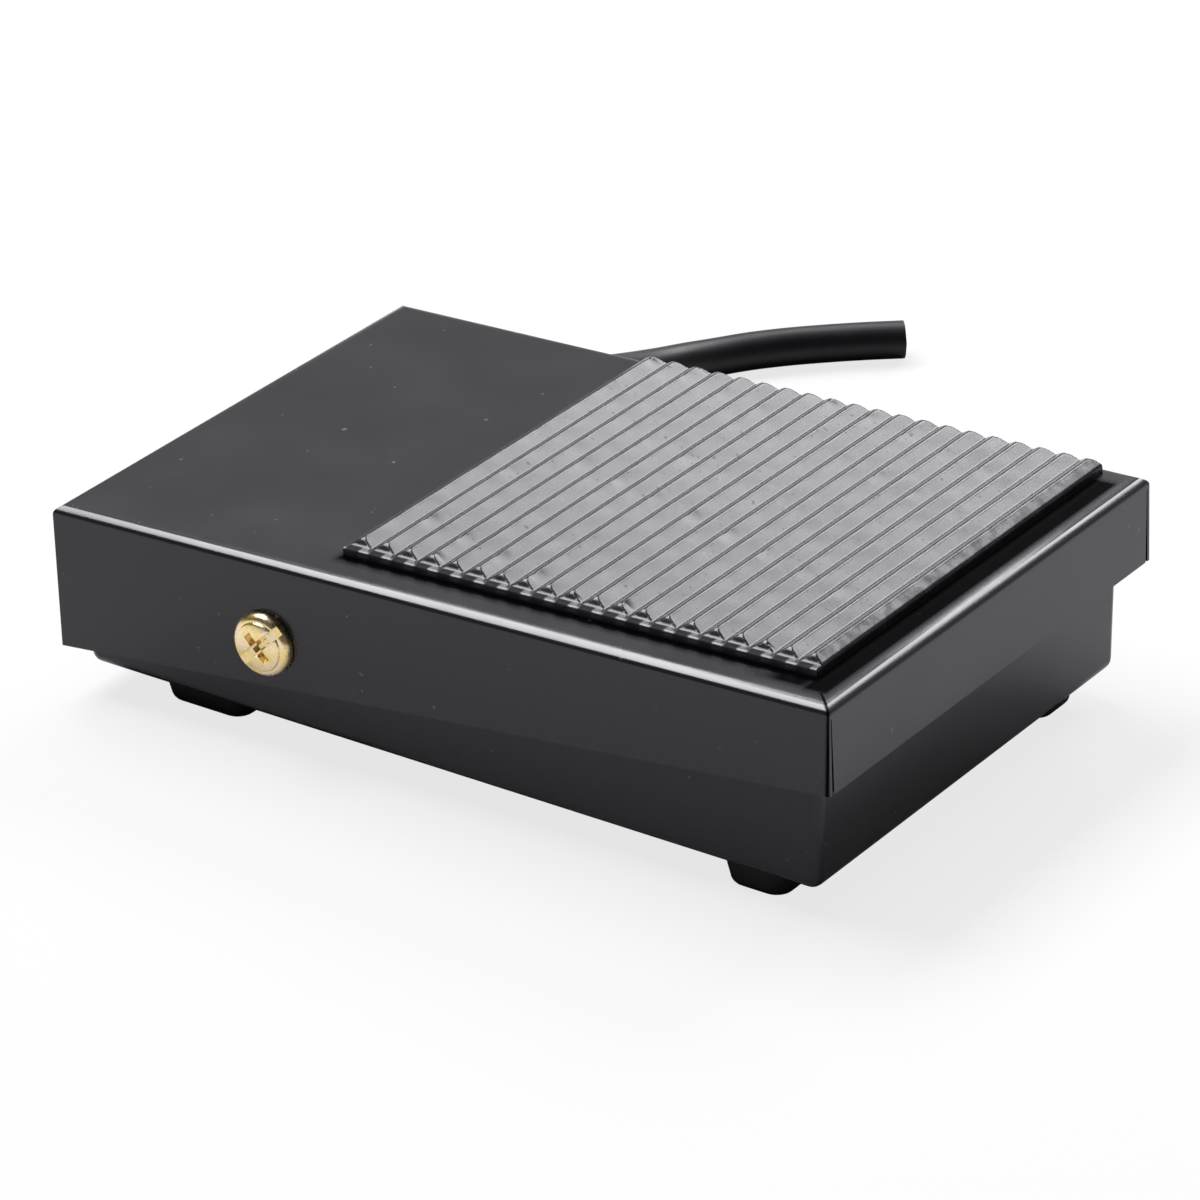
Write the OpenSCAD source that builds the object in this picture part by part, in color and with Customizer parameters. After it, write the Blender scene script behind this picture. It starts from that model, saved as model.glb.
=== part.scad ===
// Industrial foot switch: a steel pedal cover hinged on two screws over a steel base tray,
// with a ribbed tread, a return spring, a snap-action switch and a clamped two-core cable.
// Millimetres. X runs from the hinge end to the toe end, Y across, Z up from the floor.

/* [Pedal cover] */
// Length of the cover over its end skirts
cover_l = 98; // [90:0.5:106]
// Width of the cover over its side skirts
cover_w = 64.7; // [58:0.1:76]
// Steel sheet of the cover
cover_t = 1; // [0.8:0.1:1.2]
// Depth of the skirt at the hinge end
skirt_rear = 16.7; // [14:0.1:18]
// Depth of the skirt at the toe end
skirt_front = 10; // [8:0.1:13]
// Outer radius of the cover's folds
fold_r = 1.8; // [1.4:0.1:2.4]
// Slit between two folded skirts at a corner
seam_gap = 0.35; // [0.2:0.05:0.6]
// How far a side skirt stops short of the end skirt's face
seam_step = 0.3; // [0.1:0.05:0.4]
// How far the released pedal stands nose up, in degrees
rest_tilt = 2.23; // [1.8:0.01:2.8]

/* [Tread] */
// Number of ribs across the tread
rib_count = 20; // [8:1:21]
// Distance from one rib to the next
rib_pitch = 2.94; // [2.6:0.01:3.1]
// Height of a rib over the tread's web
rib_h = 1.2; // [0.8:0.05:1.25]
// Flat at the crest of a rib
rib_crest = 0.26; // [0.15:0.01:0.4]
// Thickness of the tread's web
web_t = 0.5; // [0.4:0.05:1]
// Bare cover in front of the tread
tread_inset = 4.5; // [3:0.1:8]
// Bare cover beside the tread, near side
tread_near = 5.2; // [3:0.05:6]
// Bare cover beside the tread, cable side
tread_far = 1.95; // [1.9:0.05:5]
// Length over which a rib rounds down at its ends
rib_end = 1.6; // [1.2:0.1:3]

/* [Base tray] */
// Steel sheet of the base
base_t = 1; // [0.8:0.1:1.2]
// Gap between a cover skirt and a base side wall
side_gap = 0.95; // [0.9:0.05:1.4]
// Gap between a cover skirt and a base end wall
end_gap = 1.4; // [1.2:0.1:2]
// Outer radius of the base's lower edges and corners
base_r = 1.4; // [1.3:0.1:2]
// Height of a rubber foot
foot_h = 3.3; // [3:0.1:6]
// Side of a front foot on the floor
foot_front_w = 7; // [6:0.1:9]
// Side of a rear foot on the floor
foot_rear_w = 10.2; // [8:0.1:11]
// How much wider a foot is on each side where it is glued to the base
foot_flare = 0.6; // [0.2:0.1:1]
// Corner radius of a foot
foot_r = 2; // [1:0.1:3]
// Front foot centre behind the toe end of the base
foot_front_in = 8.8; // [7:0.1:12]
// Front foot centre inside the base's side
foot_front_side = 5.4; // [5.2:0.1:8]
// Rear foot centre ahead of the hinge end of the base
foot_rear_in = 13.4; // [8:0.1:16]
// Rear foot centre inside the base's side
foot_rear_side = 8; // [7:0.1:10]
// How far the far front foot is glued ahead of the near one, and further in
foot_astray = [2.3, 1.5]; // [0:0.1:3]

/* [Pivot] */
// Pivot axis behind the middle of the base
pivot_back = 21; // [15:0.5:24]
// Pivot axis above the underside of the base
pivot_up = 10.4; // [9.6:0.1:11]
// Shank of a pivot screw
pivot_d = 4; // [3.6:0.1:4.4]
// Head of a pivot screw
pivot_head_d = 7.3; // [6.8:0.1:8]
// Height of a pivot screw's head
pivot_head_h = 1.7; // [1.5:0.1:2.6]
// Hexagon nut on a pivot screw, across its flats
pivot_nut_w = 7; // [6.5:0.1:8]
// Thickness of a pivot nut
pivot_nut_h = 3.2; // [2.4:0.1:3.6]
// Spacer washer between cover and base
washer_d = 8; // [7:0.1:9]
// Radial play of the cover on its screws
pivot_play = 0.06; // [0.03:0.01:0.09]
// How far the pedal turns when it is pressed, in degrees
press_angle = 3; // [2:0.1:3]

/* [Return spring] */
// Outer diameter of the return spring
spring_d = 11; // [9:0.1:12]
// Spring wire
wire_d = 1.1; // [0.8:0.05:1.3]
// Turns of the spring
spring_turns = 7; // [5:0.5:8]
// Spring centre behind the toe end of the base
spring_in = 13.6; // [11:0.1:15]
// Flange of a spring seat beyond the spring
seat_rim = 1; // [0.5:0.1:1.5]
// Sheet of a spring seat
seat_t = 0.8; // [0.6:0.1:1.2]
// Height of the boss that keeps the spring centred
boss_h = 2.5; // [1.5:0.1:3]

/* [Snap-action switch] */
// Length of the switch case
case_l = 27.8; // [26:0.1:30]
// Width of the switch case
case_w = 10.3; // [9.5:0.1:11]
// Height of the switch case
case_h = 15.9; // [15:0.1:16]
// Wall of the switch case
case_t = 1.4; // [1.2:0.1:1.8]
// Switch case above the floor of the base
case_up = 0.9; // [0.5:0.1:1.2]
// Toe end of the switch case ahead of the middle of the base
case_ahead = 21.8; // [20:0.1:24]
// Mounting hole inside the end of the case
hole_in = 2.8; // [2.7:0.1:3.4]
// Mounting hole inside the top or the bottom of the case
hole_up = 2.8; // [2.7:0.1:3.2]
// Mounting screw of the switch
case_screw_d = 3; // [2.6:0.1:3.2]
// Height of a mounting screw's head
case_head_h = 2; // [1.6:0.1:2.2]
// Nut of a mounting screw, across its flats
case_nut_w = 5.5; // [5:0.1:5.6]
// Thickness of a mounting nut
case_nut_h = 2.4; // [2:0.1:2.6]
// Plunger pin
plunger_d = 3.2; // [2.6:0.1:4]
// Flange that keeps the plunger in its case
plunger_rim = 1; // [0.6:0.1:1.2]
// Plunger centre behind the toe end of the case
plunger_back = 12.2; // [11:0.1:14]
// Gap between the released pedal and the plunger
plunger_gap = 0.25; // [0.15:0.05:0.4]
// Width of a terminal blade
blade_w = 4.8; // [4:0.1:6.3]
// Thickness of a terminal blade
blade_t = 0.8; // [0.5:0.1:1]
// How far a terminal stands out of the case
blade_out = 8; // [7:0.1:9]
// How far the common terminal reaches into the case
blade_in = 6; // [5:0.5:7]
// Neck of an insulating sleeve
sleeve_neck = 3; // [2:0.5:3.5]
// Lowest terminal above the underside of the case
terminal_up = 7.4; // [7:0.1:7.6]
// Distance from one terminal to the next
terminal_step = 2.9; // [2.8:0.05:3]
// Sheet of the switch bracket
bracket_t = 1.2; // [1:0.1:1.5]
// Bracket inside each end of the case
bracket_in = 1; // [0.5:0.1:1.5]
// Foot of the bracket along the floor
bracket_foot = 9; // [7:0.1:9]

/* [Cable] */
// Diameter of the cable
cable_d = 4.6; // [4.4:0.1:4.8]
// Insulated core of the cable
core_d = 1.7; // [1.4:0.1:1.8]
// Height of the cable in the base wall, above the base's underside
cable_up = 6.9; // [6.7:0.1:7.5]
// Cable entry ahead of the hinge end of the base
cable_ahead = 8.6; // [8:0.1:9]
// Grommet neck in the base wall
neck_d = 7; // [6.6:0.1:7.6]
// Grommet flange
flange_d = 9.4; // [8.8:0.1:10]
// Length of the grommet's nose outside the cover
nose_out = 1.8; // [1.5:0.1:5]
// Inside sheath behind the base wall
tail_in = 21; // [19:0.5:23]
// Depth of the two cable saddles along the cable
saddle_y = 7; // [5:0.1:8]
// Wall of a cable saddle over the cable
saddle_t = 1.4; // [1:0.1:2]
// Ear of a cable saddle on each side of the cable
saddle_ear = 3.4; // [3:0.1:3.5]
// Screw of the cable saddles
saddle_screw_d = 2.6; // [2.2:0.1:3]
// Head of a saddle screw
saddle_head_d = 4; // [3.6:0.1:4.6]
// Height of a saddle screw's head
saddle_head_h = 1.7; // [1.4:0.1:2]

/* [Hidden] */
$fn = 48;

// Fits
slip = 0.05;         // radial play of a screw in its hole or nut
touch_gap = 0.1;     // between flat faces of neighbours that may rub
rest_gap = 0.3;      // released cover over the rear wall of the base

// Base tray
base_l = cover_l - 2 * (cover_t + end_gap);
base_w = cover_w - 2 * (cover_t + side_gap);
wall_h = base_t + case_up + case_h;
floor_z = foot_h + base_t;
wall_z = foot_h + wall_h;
wall_in = base_w / 2 - base_t;
foot_front_x = base_l / 2 - foot_front_in;
foot_front_y = base_w / 2 - foot_front_side;
foot_rear_x = -base_l / 2 + foot_rear_in;
foot_rear_y = base_w / 2 - foot_rear_side;

// Pedal cover: its own frame has X from the hinge end and Z = 0 on the flat top
cover_x = -(cover_l * cos(rest_tilt) + skirt_front * sin(rest_tilt)) / 2;
cover_z = wall_z + rest_gap + cover_t / cos(rest_tilt) + (base_l / 2 + cover_x) * tan(rest_tilt);
cover_in = cover_w / 2 - cover_t;
function ceiling(x) = cover_z + (x - cover_x) * tan(rest_tilt) - cover_t / cos(rest_tilt);

// Pivot
pivot_x = -pivot_back;
pivot_z = foot_h + pivot_up;
head_y = cover_w / 2 + touch_gap;
screw_y = wall_in - pivot_nut_h - touch_gap - 1;

// Tread, in the cover's frame
tread_l = rib_count * rib_pitch;
tread_x = cover_l - tread_inset - tread_l;
tread_w = cover_w - tread_near - tread_far;
tread_mid_y = (tread_near - tread_far) / 2;
rib_slope = (rib_pitch - rib_crest) / 2;
tread_top = web_t + rib_h;

// Return spring
spring_x = base_l / 2 - spring_in;
seat_d = spring_d + 2 * seat_rim;
boss_d = spring_d - 2 * wire_d - 0.6;
spring_low = floor_z + seat_t + slip;
spring_top = ceiling(spring_x) - seat_t / cos(rest_tilt) - seat_d / 2 * tan(rest_tilt) - slip;
spring_h = spring_top - spring_low;

// Snap-action switch
case_x0 = case_ahead - case_l;
case_z = floor_z + case_up;
case_mid_y = 0;
hole_dx = case_l - 2 * hole_in;
hole_dz = case_h - 2 * hole_up;
plunger_x = case_ahead - plunger_back;
plunger_top = ceiling(plunger_x) - plunger_gap;
plunger_stroke = (plunger_x - pivot_x) * tan(press_angle);
bracket_y = case_mid_y + case_w / 2;
bracket_h = wall_z - touch_gap - floor_z;
case_side_y = case_mid_y - case_w / 2;
mounting_places = [[case_x0 + hole_in, case_z + hole_up],
    [case_x0 + hole_in + hole_dx, case_z + hole_up + hole_dz]];
terminal_z = [for (i = [0:2]) case_z + terminal_up + i * terminal_step];

// Cable
cable_x = -base_l / 2 + cable_ahead;
cable_z = foot_h + cable_up;
nose_y = cover_w / 2 + nose_out;
tail_y = wall_in - tail_in;
saddle_mid_y = tail_y + 8.5;
saddle_l = cable_d + 2 * (saddle_t + saddle_ear);
saddle_hole = (saddle_l - saddle_ear) / 2;

// Route of the free cable from the grommet's nose to its cut end
cable_route = [[-38, 34.15, 10.2], [-38, 40, 10.2], [-38, 44, 9.8], [-38, 48, 8.9], [-38, 52, 7.8],
    [-38, 56, 6.6], [-38, 60, 5.4], [-37.8, 64, 4.3], [-37.2, 68, 3.4], [-36.1, 72, 2.8],
    [-34.3, 76, 2.4], [-31.8, 80, 2.3], [-28.8, 83.5, 2.3], [-25.5, 86.8, 2.3],
    [-22, 90, 2.3], [-18.4, 93, 2.3]];

// Routes of the two cores from the sheath's end to the sleeves on the terminals
core_start = [cable_x, tail_y, cable_z];
sleeve_x = case_x0 - blade_out - sleeve_neck - 1;
brown_route = [core_start + [-1, 0, 0], core_start + [-1, -3, 0], core_start + [-0.6, -5.6, 0.2],
    core_start + [1, -7.5, 0.6], core_start + [4, -8.4, 1.2], core_start + [9, -8.6, 1.8],
    [sleeve_x - sleeve_neck, case_mid_y, terminal_z[0]], [sleeve_x, case_mid_y, terminal_z[0]]];
blue_route = [core_start + [1, 0, 0], core_start + [1, -2, 0], core_start + [1.5, -4, 0.7],
    core_start + [3, -5.6, 2.2], core_start + [5.6, -6.5, 4.1], core_start + [9, -7.1, 6],
    [sleeve_x - 2 * sleeve_neck, case_mid_y + 0.4, terminal_z[2] - 0.6],
    [sleeve_x - sleeve_neck, case_mid_y, terminal_z[2]], [sleeve_x, case_mid_y, terminal_z[2]]];

// ---------- shapes that repeat ----------

// Points of a round corner of radius r about centre c, from angle a to angle b
function corner(c, r, a, b) = [for (i = [0:8], t = a + (b - a) * i / 8)
    c + r * [cos(t), sin(t)]];

// Rectangle from the origin with its two upper corners rounded, and a lower edge that slopes
module skirt_outline(l, deep_a, deep_b, r) {
    polygon(concat([[l, -deep_b], [0, -deep_a]], corner([r, -r], r, 180, 90),
        corner([l - r, -r], r, 90, 0)));
}

// Pan of folded sheet, upside down: X from 0 to l, Y centred, Z = 0 on its flat
module folded_pan(l, w, deep_a, deep_b, r) {
    intersection() {
        translate([0, w, 0]) rotate([90, 0, 0])
            linear_extrude(2 * w) skirt_outline(l, deep_a, deep_b, r);
        translate([-l, -w / 2, 0]) rotate([90, 0, 90])
            linear_extrude(3 * l) skirt_outline(w, 2 * deep_a, 2 * deep_a, r);
    }
}

// Rectangle with round corners, centred
module round_rectangle(l, w, r) {
    polygon(concat(corner([l / 2 - r, w / 2 - r], r, 0, 90), corner([r - l / 2, w / 2 - r], r, 90, 180),
        corner([r - l / 2, r - w / 2], r, 180, 270), corner([l / 2 - r, r - w / 2], r, 270, 360)));
}

// Puts a shape that is drawn in the cover's frame where the released cover is
module on_cover() {
    translate([cover_x, 0, cover_z]) rotate([0, -rest_tilt, 0]) children();
}

// Cylinder along Y from y0 to y1
module rod_y(d, x, z, y0, y1) {
    translate([x, y0, z]) rotate([-90, 0, 0]) cylinder(d = d, h = y1 - y0);
}

// Washer or disc with a bore, along Z
module ring(outer, bore, h) {
    difference() {
        cylinder(d = outer, h = h);
        translate([0, 0, -1]) cylinder(d = bore, h = h + 2);
    }
}

// Tube along a list of points, for runs that are never upright
function unit(v) = v / norm(v);
function run(p, i) = unit(p[min(i + 1, len(p) - 1)] - p[max(i - 1, 0)]);
module tube(p, d, sides) {
    last = (len(p) - 1) * sides;
    corners = [for (i = [0:len(p) - 1])
        let (t = run(p, i), s = unit(cross(t, [0, 0, 1])), u = cross(s, t))
        for (k = [0:sides - 1])
            p[i] + d / 2 * (s * sin(360 * k / sides) + u * cos(360 * k / sides))];
    walls = [for (i = [0:len(p) - 2], k = [0:sides - 1], half = [0, 1])
        let (a = i * sides + k, b = i * sides + (k + 1) % sides)
        half == 0 ? [a, a + sides, b + sides] : [a, b + sides, b]];
    caps = [[for (k = [0:sides - 1]) k], [for (k = [sides - 1:-1:0]) last + k]];
    polyhedron(corners, concat(walls, caps), convexity = 8);
}

// ---------- base ----------

module base_tray() {
    color("#1f2022") difference() {
        translate([-base_l / 2, 0, foot_h]) mirror([0, 0, 1])
            intersection() {
                folded_pan(base_l, base_w, wall_h, wall_h, base_r);
                translate([base_l / 2, 0, -wall_h]) linear_extrude(wall_h)
                    round_rectangle(base_l, base_w, base_r);
            }
        translate([-base_l / 2 + base_t, 0, floor_z]) mirror([0, 0, 1])
            folded_pan(base_l - 2 * base_t, 2 * wall_in, wall_h, wall_h, base_r - base_t);
        rod_y(pivot_d + 2 * slip, pivot_x, pivot_z, -base_w, base_w);
        rod_y(neck_d + 2 * slip, cable_x, cable_z, 0, base_w);
    }
}

module foot(wide, x, y) {
    low = wide / 2 - foot_r;
    top = low + foot_flare;
    color("#101112") translate([x, y, 0])
        hull() for (i = [-1, 1], j = [-1, 1]) {
            translate([i * low, j * low, 0]) cylinder(r1 = foot_r - 0.6, r2 = foot_r, h = 0.6, $fn = 32);
            translate([i * top, j * top, foot_h - 0.2]) cylinder(r = foot_r, h = 0.2, $fn = 32);
        }
}
module foot_front_near() foot(foot_front_w, foot_front_x, -foot_front_y);
module foot_front_far()
    foot(foot_front_w, foot_front_x + foot_astray[0], foot_front_y - foot_astray[1]);
module foot_rear_near() foot(foot_rear_w, foot_rear_x, -foot_rear_y);
module foot_rear_far() foot(foot_rear_w, foot_rear_x, foot_rear_y);

// ---------- pivot ----------

// Pan head with a rounded rim, a cross recess and a driver slot; side is -1 near, 1 far
module pivot_screw(side) {
    rim = 0.4 * pivot_head_h;
    color("#c9a24e") translate([pivot_x, side * head_y, pivot_z]) rotate([-90 * side, 0, 0])
        difference() {
            union() {
                translate([0, 0, screw_y - head_y]) cylinder(d = pivot_d, h = head_y - screw_y + 1);
                rotate_extrude() {
                    square([pivot_head_d / 2, pivot_head_h - rim]);
                    square([pivot_head_d / 2 - rim, pivot_head_h]);
                    translate([pivot_head_d / 2 - rim, pivot_head_h - rim]) circle(rim);
                }
            }
            for (a = [45, 135]) rotate([0, 0, a])
                translate([-1.9, -0.45, pivot_head_h - 1.2]) cube([3.8, 0.9, 2]);
            rotate([0, 0, 45])
                translate([-pivot_head_d, -0.5, pivot_head_h - 0.5]) cube([2 * pivot_head_d, 1, 2]);
        }
}
module pivot_screw_near() pivot_screw(-1);
module pivot_screw_far() pivot_screw(1);

module pivot_nut(side) {
    color("#b8bcc0") translate([pivot_x, side * wall_in, pivot_z]) rotate([90 * side, 0, 0])
        difference() {
            cylinder(d = pivot_nut_w / cos(30), h = pivot_nut_h, $fn = 6);
            translate([0, 0, -1]) cylinder(d = pivot_d + 2 * slip, h = pivot_nut_h + 2);
        }
}
module pivot_nut_near() pivot_nut(-1);
module pivot_nut_far() pivot_nut(1);

module pivot_washer(side) {
    color("#e8e6df") translate([pivot_x, side * base_w / 2, pivot_z]) rotate([-90 * side, 0, 0])
        ring(washer_d, pivot_d + 2 * slip, side_gap - 2 * touch_gap);
}
module pivot_washer_near() pivot_washer(-1);
module pivot_washer_far() pivot_washer(1);

// ---------- pedal ----------

module pedal_cover() {
    notch_d = flange_d - 0.4;
    color("#2b2c30") difference() {
        on_cover() difference() {
            folded_pan(cover_l, cover_w, skirt_rear, skirt_front, fold_r);
            translate([cover_t, 0, -cover_t])
                folded_pan(cover_l - 2 * cover_t, 2 * cover_in, skirt_rear, skirt_rear, fold_r - cover_t);
            corner_slits();
        }
        rod_y(pivot_d + 2 * pivot_play, pivot_x, pivot_z, -cover_w, cover_w);
        rod_y(notch_d, cable_x, cable_z, cover_in - 1, cover_w);
        translate([cable_x - notch_d / 2, cover_in - 1, 0]) cube([notch_d, cover_w, cable_z]);
    }
}

// At each corner the side skirt stops short of the end face, and a slit that widens
// downwards parts it from the end skirt
module corner_slits() {
    far = 2 * cover_t;
    for (x = [0, 1], y = [-1, 1])
        translate([x * cover_l, y * cover_w / 2, -fold_r]) mirror([1 - x, 0, 0]) {
            translate([-seam_step, y > 0 ? -cover_t : -far, -skirt_rear])
                cube([far, cover_t + far, skirt_rear]);
            rotate([90, 0, 90]) linear_extrude(2 * far, center = true)
                polygon([[-y * cover_t, 0], [-y * (cover_t + seam_gap / 3), 0],
                    [-y * (cover_t + seam_gap), -skirt_rear], [-y * cover_t, -skirt_rear]]);
        }
}

// Section along the pedal: the web, with one ridge after another
module tread_section() {
    polygon(concat([[tread_l, 0], [0, 0], [0, web_t]],
        [for (i = [0:rib_count - 1], p = [[0.02, web_t], [rib_slope, tread_top],
                [rib_slope + rib_crest, tread_top], [rib_pitch - 0.02, web_t]])
            [i * rib_pitch + p[0], p[1]]],
        [[tread_l, web_t]]));
}

// Section across the pedal: the ribs round down at both ends
module tread_arch() {
    half = tread_w / 2;
    bow = [[0, 0], [0, 0.35], [0.12, 0.62], [0.35, 0.82], [0.65, 0.95], [1, 1]];
    polygon(concat([[half, 0], [-half, 0]],
        [for (b = bow) [-half + b[0] * rib_end, web_t + b[1] * rib_h]],
        [for (i = [len(bow) - 1:-1:0]) [half - bow[i][0] * rib_end, web_t + bow[i][1] * rib_h]]));
}

module tread_pad() {
    color("#3a3b40") on_cover() translate([tread_x, tread_mid_y, 0]) intersection() {
        translate([0, tread_w, 0]) rotate([90, 0, 0]) linear_extrude(2 * tread_w) tread_section();
        translate([-1, 0, 0]) rotate([90, 0, 90]) linear_extrude(tread_l + 2) tread_arch();
    }
}

// ---------- return spring ----------

module seat_shape() {
    cylinder(d = seat_d, h = seat_t);
    cylinder(d1 = boss_d, d2 = boss_d - 1, h = seat_t + boss_h);
}
module spring_seat() {
    color("#9a9da1") translate([spring_x, 0, floor_z]) seat_shape();
}
module spring_cap() {
    color("#9a9da1") translate([spring_x, 0, ceiling(spring_x) - 0.02])
        rotate([0, -rest_tilt, 0]) mirror([0, 0, 1]) seat_shape();
}

// Compression spring whose first and last turns lie closed
module return_spring() {
    per_turn = 18;
    rings = spring_turns * per_turn;
    mean = (spring_d - wire_d) / 2;
    closed = 1.1 * per_turn;
    body = spring_h - 3 * wire_d - 0.2;
    color("#8f949a") translate([spring_x, 0, spring_low + wire_d / 2])
        tube([for (i = [0:rings])
            let (low = min(i, closed), mid = min(max(i - closed, 0), rings - 2 * closed),
                high = max(i - rings + closed, 0))
            [mean * cos(360 * i / per_turn), mean * sin(360 * i / per_turn),
                (low + high) / closed * (wire_d + 0.1) + mid / (rings - 2 * closed) * body]],
            wire_d, 8);
}

// ---------- snap-action switch ----------

// Cylinders for the two mounting holes, through the case, the lid and the bracket
module mounting_holes(d, y0, y1) {
    for (h = mounting_places) rod_y(d, h[0], h[1], y0, y1);
}

module switch_case() {
    room_y = case_w - 2 * case_t;
    color("#23262b") difference() {
        translate([case_x0, case_side_y + case_t, case_z]) cube([case_l, case_w - case_t, case_h]);
        difference() {
            translate([case_x0 + case_t, case_side_y, case_z + case_t])
                cube([case_l - 2 * case_t, room_y + case_t, case_h - 2 * case_t]);
            mounting_holes(case_screw_d + 2 * case_t, case_side_y, bracket_y);
        }
        mounting_holes(case_screw_d + 2 * slip, case_side_y - 1, bracket_y + 1);
        translate([plunger_x, case_mid_y, case_z + case_h - case_t - 1])
            cylinder(d = plunger_d + 2 * slip, h = case_t + 2);
        for (z = terminal_z) terminal_slot(z);
    }
}
module terminal_slot(z) {
    translate([case_x0 - 1, case_mid_y - blade_w / 2 - slip, z - blade_t / 2 - slip])
        cube([case_t + 2, blade_w + 2 * slip, blade_t + 2 * slip]);
}

module switch_lid() {
    color("#2d3036") difference() {
        translate([case_x0, case_side_y, case_z]) cube([case_l, case_t, case_h]);
        mounting_holes(case_screw_d + 2 * slip, case_side_y - 1, case_side_y + case_t + 1);
    }
}

// Pin that the pedal presses, with a flange that keeps it in the case
module switch_plunger() {
    flange_z = case_z + case_h - case_t - plunger_rim - 4 * slip;
    r = plunger_d / 2;
    tip = r * 0.7;
    color("#a33428") translate([plunger_x, case_mid_y, 0]) rotate_extrude()
        polygon([[0, flange_z - 2 * plunger_rim], [tip, flange_z - 2 * plunger_rim], [tip, flange_z],
            [r + plunger_rim, flange_z], [r + plunger_rim, flange_z + plunger_rim],
            [r, flange_z + plunger_rim], [r, plunger_top - r + tip],
            [tip, plunger_top], [0, plunger_top]]);
}

// Angle spot-welded to the floor, with the switch on its upright leg
module switch_bracket() {
    x0 = case_x0 + bracket_in;
    x1 = case_x0 + case_l - bracket_in;
    past_nut = case_x0 + 2 * hole_in + case_nut_w / 2;
    color("#9fa3a8") difference() {
        union() {
            translate([x0, bracket_y, floor_z]) cube([x1 - x0, bracket_t, bracket_h]);
            translate([past_nut, bracket_y, floor_z]) cube([x1 - past_nut, bracket_foot, bracket_t]);
        }
        mounting_holes(case_screw_d + 2 * slip, bracket_y - 1, bracket_y + bracket_t + 1);
    }
}

module switch_screws() {
    end_y = bracket_y + bracket_t + 1.3 * case_nut_h;
    cross = case_screw_d * 0.95;
    color("#c4c7ca") difference() {
        union() {
            mounting_holes(case_screw_d, case_side_y, end_y);
            mounting_holes(case_screw_d * 1.8, case_side_y - case_head_h, case_side_y);
        }
        for (h = mounting_places) translate([h[0], case_side_y - case_head_h, h[1]])
            for (a = [0, 90]) rotate([0, a, 0])
                cube([cross, case_head_h, cross / 4], center = true);
    }
}

module switch_nuts() {
    color("#b8bcc0") for (h = mounting_places)
        translate([h[0], bracket_y + bracket_t, h[1]]) rotate([-90, 0, 0]) difference() {
            cylinder(d = case_nut_w / cos(30), h = case_nut_h, $fn = 6);
            translate([0, 0, -1]) cylinder(d = case_screw_d + 2 * slip, h = case_nut_h + 2);
        }
}

// Brass blade through the case wall, with the usual hole in its tab
module terminal(z, reach) {
    color("#c8a65a") difference() {
        translate([case_x0 - blade_out, case_mid_y - blade_w / 2, z - blade_t / 2])
            cube([blade_out + reach, blade_w, blade_t]);
        translate([case_x0 - blade_out + 2.4, case_mid_y, z - 1]) cylinder(d = 1.6, h = 2);
    }
}
module terminal_common() terminal(terminal_z[0], case_t + blade_in);
module terminal_closed() terminal(terminal_z[1], case_t + blade_in / 2);
module terminal_open() terminal(terminal_z[2], case_t + blade_in / 2);

// Insulated push-on connector: a flat sleeve on the blade and a round neck for the core
module sleeve(z, tint) {
    inside = 5.6;
    color(tint) difference() {
        union() {
            translate([sleeve_x + sleeve_neck, case_mid_y - blade_w / 2 - 0.9, z - 1.6])
                cube([inside + 1, blade_w + 1.8, 3.2]);
            translate([sleeve_x, case_mid_y, z]) rotate([0, 90, 0]) cylinder(d = 3.2, h = sleeve_neck);
        }
        translate([case_x0 - blade_out - 0.1, case_mid_y - blade_w / 2 - slip, z - blade_t / 2 - slip])
            cube([blade_out, blade_w + 2 * slip, blade_t + 2 * slip]);
    }
}
module sleeve_common() sleeve(terminal_z[0], "#7d8790");
module sleeve_open() sleeve(terminal_z[2], "#7d8790");

// ---------- cable ----------

// Rubber grommet: a flange on each side of the base wall and a tapered nose through the cover
module cable_grommet() {
    out = side_gap - 2 * touch_gap;
    in = 1.6;
    y0 = wall_in - in - slip;
    color("#161718") translate([cable_x, 0, cable_z]) rotate([-90, 0, 0]) difference() {
        union() {
            translate([0, 0, y0]) cylinder(d = flange_d, h = in);
            translate([0, 0, y0]) cylinder(d = neck_d, h = base_w / 2 + slip - y0 + 0.1);
            translate([0, 0, base_w / 2 + slip]) cylinder(d = flange_d, h = out);
            translate([0, 0, base_w / 2 + slip]) cylinder(d1 = neck_d, d2 = neck_d - 1,
                h = nose_y - base_w / 2 - slip);
        }
        translate([0, 0, y0 - 1]) cylinder(d = cable_d + 2 * slip, h = nose_y - y0 + 2);
    }
}

module cable_tail() {
    color("#1b1c1e") rod_y(cable_d, cable_x, cable_z, tail_y, nose_y);
}
module core_brown() {
    color("#6b4226") tube(brown_route, core_d, 8);
}
module core_blue() {
    color("#2f5f9e") tube(blue_route, core_d, 8);
}
module cable() {
    color("#1b1c1e") tube(cable_route, cable_d, 12);
}

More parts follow.
